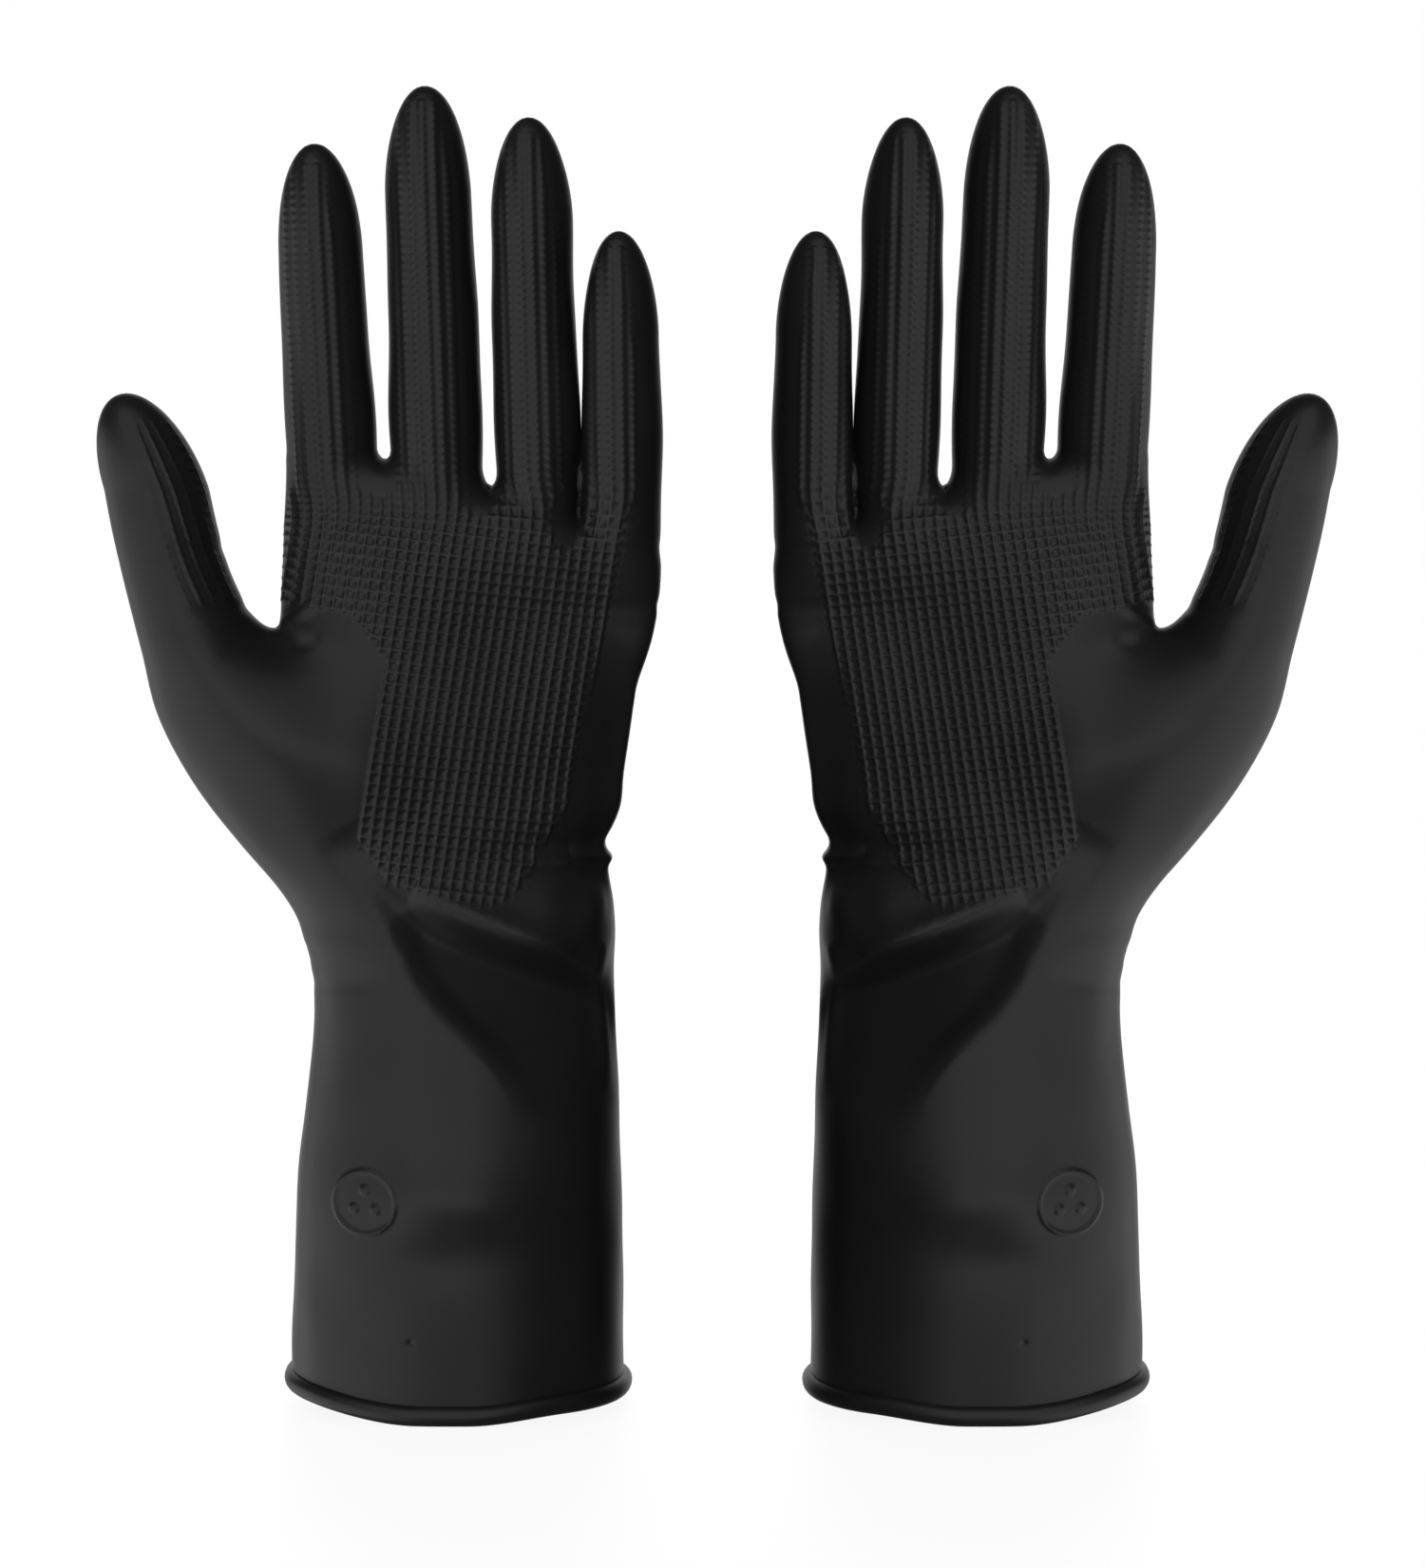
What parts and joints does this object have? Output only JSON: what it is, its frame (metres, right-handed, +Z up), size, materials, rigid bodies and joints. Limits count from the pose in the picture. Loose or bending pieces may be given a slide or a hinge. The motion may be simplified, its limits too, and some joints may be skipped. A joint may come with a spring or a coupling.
{
  "type": "rubber gloves",
  "caption": "Pair of heavy-duty dipped rubber gauntlets standing on rolled cuffs, with textured palms and jointed, hollow fingers and thumbs.",
  "frame": {"origin": "on the surface that the cuffs stand on, midway between the two gloves", "axes": "+Z up along the gloves towards the fingertips, +X towards the right-hand glove, palms face -Y, thumbs point outward"},
  "size_m": [0.29, 0.0672, 0.3066],
  "materials": {
    "film_rubber": "satin black latex film, lightly textured grip on the palm side",
    "crease_rubber": "satin black latex film, the same film where it bends",
    "bead_rubber": "satin black latex, rolled into a round bead"
  },
  "bodies": {
    "left_cuff": {"left_cuff_bead": "bead_rubber", "left_cuff_sleeve": "film_rubber", "left_wrist_crease": "crease_rubber"},
    "left_hand": {"left_hand_palm": "film_rubber", "left_hand_back": "film_rubber", "left_root_creases": "crease_rubber"},
    "left_thumb_base": {"left_thumb_base": "film_rubber", "left_thumb_tip_crease": "crease_rubber"},
    "left_thumb_tip": {"left_thumb_tip": "film_rubber"},
    "left_index_finger_base": {"left_index_finger_base": "film_rubber", "left_index_finger_mid_crease": "crease_rubber"},
    "left_index_finger_mid": {"left_index_finger_mid": "film_rubber", "left_index_finger_tip_crease": "crease_rubber"},
    "left_index_finger_tip": {"left_index_finger_tip": "film_rubber"},
    "left_middle_finger_base": {"left_middle_finger_base": "film_rubber", "left_middle_finger_mid_crease": "crease_rubber"},
    "left_middle_finger_mid": {"left_middle_finger_mid": "film_rubber", "left_middle_finger_tip_crease": "crease_rubber"},
    "left_middle_finger_tip": {"left_middle_finger_tip": "film_rubber"},
    "left_ring_finger_base": {"left_ring_finger_base": "film_rubber", "left_ring_finger_mid_crease": "crease_rubber"},
    "left_ring_finger_mid": {"left_ring_finger_mid": "film_rubber", "left_ring_finger_tip_crease": "crease_rubber"},
    "left_ring_finger_tip": {"left_ring_finger_tip": "film_rubber"},
    "left_little_finger_base": {"left_little_finger_base": "film_rubber", "left_little_finger_mid_crease": "crease_rubber"},
    "left_little_finger_mid": {"left_little_finger_mid": "film_rubber", "left_little_finger_tip_crease": "crease_rubber"},
    "left_little_finger_tip": {"left_little_finger_tip": "film_rubber"},
    "right_cuff": {"right_cuff_bead": "bead_rubber", "right_cuff_sleeve": "film_rubber", "right_wrist_crease": "crease_rubber"},
    "right_hand": {"right_hand_palm": "film_rubber", "right_hand_back": "film_rubber", "right_root_creases": "crease_rubber"},
    "right_thumb_base": {"right_thumb_base": "film_rubber", "right_thumb_tip_crease": "crease_rubber"},
    "right_thumb_tip": {"right_thumb_tip": "film_rubber"},
    "right_index_finger_base": {"right_index_finger_base": "film_rubber", "right_index_finger_mid_crease": "crease_rubber"},
    "right_index_finger_mid": {"right_index_finger_mid": "film_rubber", "right_index_finger_tip_crease": "crease_rubber"},
    "right_index_finger_tip": {"right_index_finger_tip": "film_rubber"},
    "right_middle_finger_base": {"right_middle_finger_base": "film_rubber", "right_middle_finger_mid_crease": "crease_rubber"},
    "right_middle_finger_mid": {"right_middle_finger_mid": "film_rubber", "right_middle_finger_tip_crease": "crease_rubber"},
    "right_middle_finger_tip": {"right_middle_finger_tip": "film_rubber"},
    "right_ring_finger_base": {"right_ring_finger_base": "film_rubber", "right_ring_finger_mid_crease": "crease_rubber"},
    "right_ring_finger_mid": {"right_ring_finger_mid": "film_rubber", "right_ring_finger_tip_crease": "crease_rubber"},
    "right_ring_finger_tip": {"right_ring_finger_tip": "film_rubber"},
    "right_little_finger_base": {"right_little_finger_base": "film_rubber", "right_little_finger_mid_crease": "crease_rubber"},
    "right_little_finger_mid": {"right_little_finger_mid": "film_rubber", "right_little_finger_tip_crease": "crease_rubber"},
    "right_little_finger_tip": {"right_little_finger_tip": "film_rubber"}
  },
  "joints": [
    {"name": "left_wrist_bend", "type": "hinge", "parent": "left_cuff", "child": "left_hand", "pos_m": [-0.061, 0, 0.113], "axis": [1, 0, 0], "range_deg": [-40, 50], "stiffness_Nm_per_rad": 0.5, "deforming": ["left_wrist_crease"]},
    {"name": "left_thumb_root_bend", "type": "hinge", "parent": "left_hand", "child": "left_thumb_base", "pos_m": [-0.1243, -0.00943, 0.191], "axis": [0.7702, 0.5776, 0.2704], "range_deg": [-10, 30], "stiffness_Nm_per_rad": 0.08, "deforming": ["left_root_creases"]},
    {"name": "left_thumb_tip_bend", "type": "hinge", "parent": "left_thumb_base", "child": "left_thumb_tip", "pos_m": [-0.1306, -0.01086, 0.212], "axis": [0.7702, 0.5776, 0.2704], "range_deg": [0, 55], "stiffness_Nm_per_rad": 0.04, "deforming": ["left_thumb_tip_crease"]},
    {"name": "left_index_finger_root_bend", "type": "hinge", "parent": "left_hand", "child": "left_index_finger_base", "pos_m": [-0.09091, -0.00052, 0.225], "axis": [1, 0, 0], "range_deg": [-10, 70], "stiffness_Nm_per_rad": 0.05, "deforming": ["left_root_creases"]},
    {"name": "left_index_finger_mid_bend", "type": "hinge", "parent": "left_index_finger_base", "child": "left_index_finger_mid", "pos_m": [-0.09195, -0.00181, 0.24984], "axis": [1, 0, 0], "range_deg": [0, 75], "stiffness_Nm_per_rad": 0.03, "deforming": ["left_index_finger_mid_crease"]},
    {"name": "left_index_finger_tip_bend", "type": "hinge", "parent": "left_index_finger_mid", "child": "left_index_finger_tip", "pos_m": [-0.09282, -0.00347, 0.27054], "axis": [1, 0, 0], "range_deg": [0, 37.5], "stiffness_Nm_per_rad": 0.015, "deforming": ["left_index_finger_tip_crease"]},
    {"name": "left_middle_finger_root_bend", "type": "hinge", "parent": "left_hand", "child": "left_middle_finger_base", "pos_m": [-0.06667, -0.00041, 0.225], "axis": [1, 0, 0], "range_deg": [-10, 70], "stiffness_Nm_per_rad": 0.05, "deforming": ["left_root_creases"]},
    {"name": "left_middle_finger_mid_bend", "type": "hinge", "parent": "left_middle_finger_base", "child": "left_middle_finger_mid", "pos_m": [-0.06726, -0.00167, 0.25452], "axis": [1, 0, 0], "range_deg": [0, 75], "stiffness_Nm_per_rad": 0.03, "deforming": ["left_middle_finger_mid_crease"]},
    {"name": "left_middle_finger_tip_bend", "type": "hinge", "parent": "left_middle_finger_mid", "child": "left_middle_finger_tip", "pos_m": [-0.06775, -0.00336, 0.27912], "axis": [1, 0, 0], "range_deg": [0, 37.5], "stiffness_Nm_per_rad": 0.015, "deforming": ["left_middle_finger_tip_crease"]},
    {"name": "left_ring_finger_root_bend", "type": "hinge", "parent": "left_hand", "child": "left_ring_finger_base", "pos_m": [-0.04354, -0.00047, 0.225], "axis": [1, 0, 0], "range_deg": [-10, 70], "stiffness_Nm_per_rad": 0.05, "deforming": ["left_root_creases"]},
    {"name": "left_ring_finger_mid_bend", "type": "hinge", "parent": "left_ring_finger_base", "child": "left_ring_finger_mid", "pos_m": [-0.04367, -0.00174, 0.252], "axis": [1, 0, 0], "range_deg": [0, 75], "stiffness_Nm_per_rad": 0.03, "deforming": ["left_ring_finger_mid_crease"]},
    {"name": "left_ring_finger_tip_bend", "type": "hinge", "parent": "left_ring_finger_mid", "child": "left_ring_finger_tip", "pos_m": [-0.04378, -0.00342, 0.2745], "axis": [1, 0, 0], "range_deg": [0, 37.5], "stiffness_Nm_per_rad": 0.015, "deforming": ["left_ring_finger_tip_crease"]},
    {"name": "left_little_finger_root_bend", "type": "hinge", "parent": "left_hand", "child": "left_little_finger_base", "pos_m": [-0.02267, -0.00083, 0.225], "axis": [1, 0, 0], "range_deg": [-10, 70], "stiffness_Nm_per_rad": 0.05, "deforming": ["left_root_creases"]},
    {"name": "left_little_finger_mid_bend", "type": "hinge", "parent": "left_little_finger_base", "child": "left_little_finger_mid", "pos_m": [-0.02272, -0.00215, 0.24264], "axis": [1, 0, 0], "range_deg": [0, 75], "stiffness_Nm_per_rad": 0.03, "deforming": ["left_little_finger_mid_crease"]},
    {"name": "left_little_finger_tip_bend", "type": "hinge", "parent": "left_little_finger_mid", "child": "left_little_finger_tip", "pos_m": [-0.02276, -0.00371, 0.25734], "axis": [1, 0, 0], "range_deg": [0, 37.5], "stiffness_Nm_per_rad": 0.015, "deforming": ["left_little_finger_tip_crease"]},
    {"name": "right_wrist_bend", "type": "hinge", "parent": "right_cuff", "child": "right_hand", "pos_m": [0.061, 0, 0.113], "axis": [1, 0, 0], "range_deg": [-40, 50], "stiffness_Nm_per_rad": 0.5, "deforming": ["right_wrist_crease"]},
    {"name": "right_thumb_root_bend", "type": "hinge", "parent": "right_hand", "child": "right_thumb_base", "pos_m": [0.1243, -0.00943, 0.191], "axis": [0.7702, -0.5776, -0.2704], "range_deg": [-10, 30], "stiffness_Nm_per_rad": 0.08, "deforming": ["right_root_creases"]},
    {"name": "right_thumb_tip_bend", "type": "hinge", "parent": "right_thumb_base", "child": "right_thumb_tip", "pos_m": [0.1306, -0.01086, 0.212], "axis": [0.7702, -0.5776, -0.2704], "range_deg": [0, 55], "stiffness_Nm_per_rad": 0.04, "deforming": ["right_thumb_tip_crease"]},
    {"name": "right_index_finger_root_bend", "type": "hinge", "parent": "right_hand", "child": "right_index_finger_base", "pos_m": [0.09091, -0.00052, 0.225], "axis": [1, 0, 0], "range_deg": [-10, 70], "stiffness_Nm_per_rad": 0.05, "deforming": ["right_root_creases"]},
    {"name": "right_index_finger_mid_bend", "type": "hinge", "parent": "right_index_finger_base", "child": "right_index_finger_mid", "pos_m": [0.09195, -0.00181, 0.24984], "axis": [1, 0, 0], "range_deg": [0, 75], "stiffness_Nm_per_rad": 0.03, "deforming": ["right_index_finger_mid_crease"]},
    {"name": "right_index_finger_tip_bend", "type": "hinge", "parent": "right_index_finger_mid", "child": "right_index_finger_tip", "pos_m": [0.09282, -0.00347, 0.27054], "axis": [1, 0, 0], "range_deg": [0, 37.5], "stiffness_Nm_per_rad": 0.015, "deforming": ["right_index_finger_tip_crease"]},
    {"name": "right_middle_finger_root_bend", "type": "hinge", "parent": "right_hand", "child": "right_middle_finger_base", "pos_m": [0.06667, -0.00041, 0.225], "axis": [1, 0, 0], "range_deg": [-10, 70], "stiffness_Nm_per_rad": 0.05, "deforming": ["right_root_creases"]},
    {"name": "right_middle_finger_mid_bend", "type": "hinge", "parent": "right_middle_finger_base", "child": "right_middle_finger_mid", "pos_m": [0.06726, -0.00167, 0.25452], "axis": [1, 0, 0], "range_deg": [0, 75], "stiffness_Nm_per_rad": 0.03, "deforming": ["right_middle_finger_mid_crease"]},
    {"name": "right_middle_finger_tip_bend", "type": "hinge", "parent": "right_middle_finger_mid", "child": "right_middle_finger_tip", "pos_m": [0.06775, -0.00336, 0.27912], "axis": [1, 0, 0], "range_deg": [0, 37.5], "stiffness_Nm_per_rad": 0.015, "deforming": ["right_middle_finger_tip_crease"]},
    {"name": "right_ring_finger_root_bend", "type": "hinge", "parent": "right_hand", "child": "right_ring_finger_base", "pos_m": [0.04354, -0.00047, 0.225], "axis": [1, 0, 0], "range_deg": [-10, 70], "stiffness_Nm_per_rad": 0.05, "deforming": ["right_root_creases"]},
    {"name": "right_ring_finger_mid_bend", "type": "hinge", "parent": "right_ring_finger_base", "child": "right_ring_finger_mid", "pos_m": [0.04367, -0.00174, 0.252], "axis": [1, 0, 0], "range_deg": [0, 75], "stiffness_Nm_per_rad": 0.03, "deforming": ["right_ring_finger_mid_crease"]},
    {"name": "right_ring_finger_tip_bend", "type": "hinge", "parent": "right_ring_finger_mid", "child": "right_ring_finger_tip", "pos_m": [0.04378, -0.00342, 0.2745], "axis": [1, 0, 0], "range_deg": [0, 37.5], "stiffness_Nm_per_rad": 0.015, "deforming": ["right_ring_finger_tip_crease"]},
    {"name": "right_little_finger_root_bend", "type": "hinge", "parent": "right_hand", "child": "right_little_finger_base", "pos_m": [0.02267, -0.00083, 0.225], "axis": [1, 0, 0], "range_deg": [-10, 70], "stiffness_Nm_per_rad": 0.05, "deforming": ["right_root_creases"]},
    {"name": "right_little_finger_mid_bend", "type": "hinge", "parent": "right_little_finger_base", "child": "right_little_finger_mid", "pos_m": [0.02272, -0.00215, 0.24264], "axis": [1, 0, 0], "range_deg": [0, 75], "stiffness_Nm_per_rad": 0.03, "deforming": ["right_little_finger_mid_crease"]},
    {"name": "right_little_finger_tip_bend", "type": "hinge", "parent": "right_little_finger_mid", "child": "right_little_finger_tip", "pos_m": [0.02276, -0.00371, 0.25734], "axis": [1, 0, 0], "range_deg": [0, 37.5], "stiffness_Nm_per_rad": 0.015, "deforming": ["right_little_finger_tip_crease"]},
    {"name": "gloves_apart", "type": "slide", "parent": "left_cuff", "child": "right_cuff", "axis": [1, 0, 0], "range_m": [-0.02, 0.08]}
  ],
  "couplings": [
    {"joint": "left_index_finger_tip_bend", "follows": "left_index_finger_mid_bend", "ratio": 0.5},
    {"joint": "left_middle_finger_tip_bend", "follows": "left_middle_finger_mid_bend", "ratio": 0.5},
    {"joint": "left_ring_finger_tip_bend", "follows": "left_ring_finger_mid_bend", "ratio": 0.5},
    {"joint": "left_little_finger_tip_bend", "follows": "left_little_finger_mid_bend", "ratio": 0.5},
    {"joint": "right_index_finger_tip_bend", "follows": "right_index_finger_mid_bend", "ratio": 0.5},
    {"joint": "right_middle_finger_tip_bend", "follows": "right_middle_finger_mid_bend", "ratio": 0.5},
    {"joint": "right_ring_finger_tip_bend", "follows": "right_ring_finger_mid_bend", "ratio": 0.5},
    {"joint": "right_little_finger_tip_bend", "follows": "right_little_finger_mid_bend", "ratio": 0.5}
  ]
}
